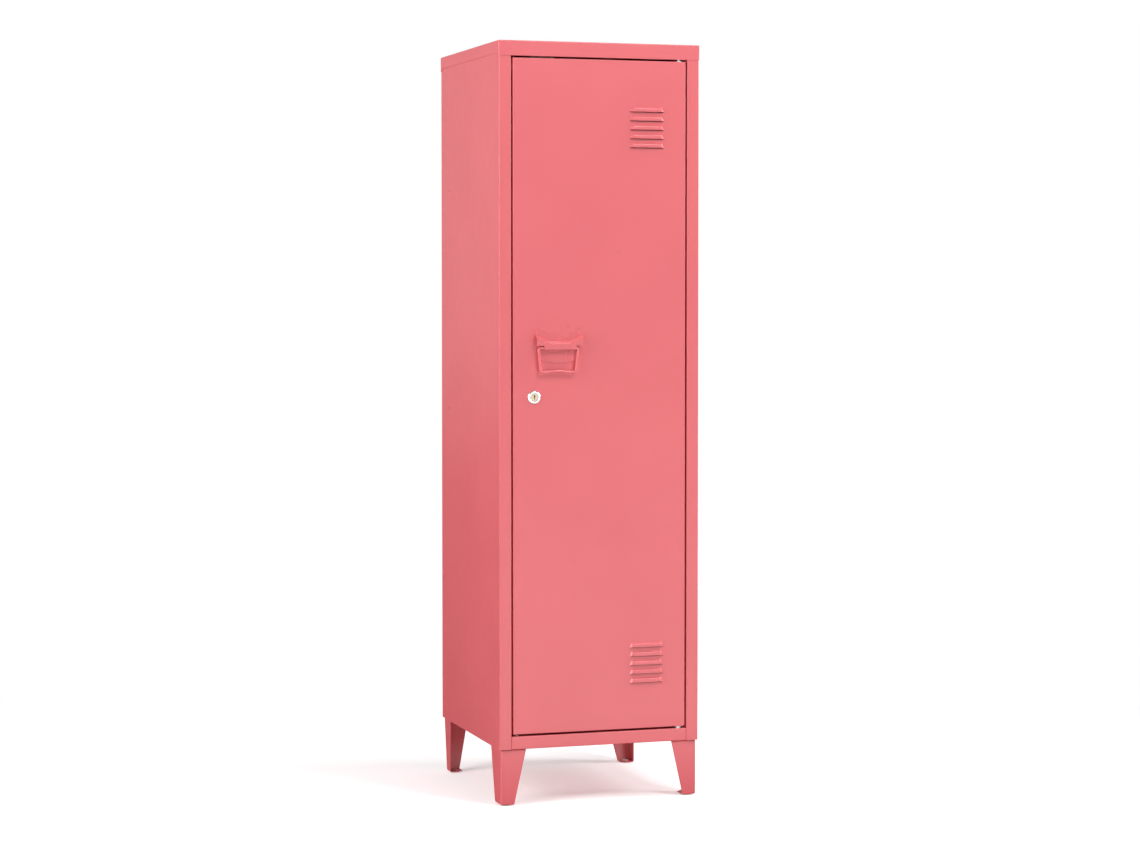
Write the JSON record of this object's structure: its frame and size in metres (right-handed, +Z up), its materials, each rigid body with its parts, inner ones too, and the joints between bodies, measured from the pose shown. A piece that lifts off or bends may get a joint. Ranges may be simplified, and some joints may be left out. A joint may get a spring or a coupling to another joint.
{
  "type": "locker cabinet",
  "caption": "Tall narrow steel locker cabinet with a hinged louvred door, bail handle, cam lock and tapered sheet legs.",
  "frame": {"origin": "centre of the bounding box's footprint, on the floor under the leg glides", "axes": "+Z up, front with the door faces -Y, +X towards the hinge side"},
  "size_m": [0.38, 0.409, 1.37],
  "materials": {
    "powder_coat": "satin coral pink powder coat",
    "zinc_plate": "zinc plated",
    "chrome_bezel": "polished",
    "nickel_plug": "brushed nickel",
    "magnet": "matt",
    "pale_nylon": "moulded",
    "soft_buffer": "matt"
  },
  "bodies": {
    "cabinet": {"back_panel": "powder_coat", "back_rivets": "zinc_plate", "bottom_tray": "powder_coat", "catch_body": "pale_nylon", "catch_magnet": "magnet", "catch_screws": "zinc_plate", "door_buffers": "soft_buffer", "door_rest_bump": "pale_nylon", "hinge_pin_bottom": "zinc_plate", "hinge_pin_top": "zinc_plate", "left_side_panel": "powder_coat", "leg_front_left": "powder_coat", "leg_front_right": "powder_coat", "leg_glide_front_left": "pale_nylon", "leg_glide_front_right": "pale_nylon", "leg_glide_rear_left": "pale_nylon", "leg_glide_rear_right": "pale_nylon", "leg_rear_left": "powder_coat", "leg_rear_right": "powder_coat", "leg_screws": "zinc_plate", "right_side_panel": "powder_coat", "shelf_clips_lower": "zinc_plate", "shelf_clips_middle": "zinc_plate", "shelf_clips_upper": "zinc_plate", "shelf_lower": "powder_coat", "shelf_middle": "powder_coat", "shelf_rail_front_left": "powder_coat", "shelf_rail_front_right": "powder_coat", "shelf_rail_rear_left": "powder_coat", "shelf_rail_rear_right": "powder_coat", "shelf_upper": "powder_coat", "top_lid": "powder_coat"},
    "door": {"door_skin": "powder_coat", "door_stiffener": "powder_coat", "hinge_bush_top": "pale_nylon", "hinge_bush_bottom": "pale_nylon", "handle_plate": "powder_coat", "handle_hood": "powder_coat", "handle_rivets": "powder_coat", "lock_housing": "chrome_bezel", "lock_nut": "zinc_plate", "lock_washer": "zinc_plate", "catch_striker": "zinc_plate"},
    "bail": {"handle_bail": "powder_coat"},
    "lock_cylinder": {"lock_plug": "nickel_plug", "lock_cam": "zinc_plate", "cam_screw": "zinc_plate"}
  },
  "joints": [
    {"name": "door_hinge", "type": "hinge", "parent": "cabinet", "child": "door", "pos_m": [0.152, -0.1875, 0.73415], "axis": [0, 0, 1], "range_deg": [0, 115]},
    {"name": "bail_swing", "type": "hinge", "parent": "door", "child": "bail", "pos_m": [-0.0805, -0.20074, 0.82235], "axis": [-1, 0, 0], "range_deg": [0, 90]},
    {"name": "lock_turn", "type": "hinge", "parent": "door", "child": "lock_cylinder", "pos_m": [-0.124, -0.1945, 0.73415], "axis": [0, 1, 0], "range_deg": [0, 90]}
  ]
}
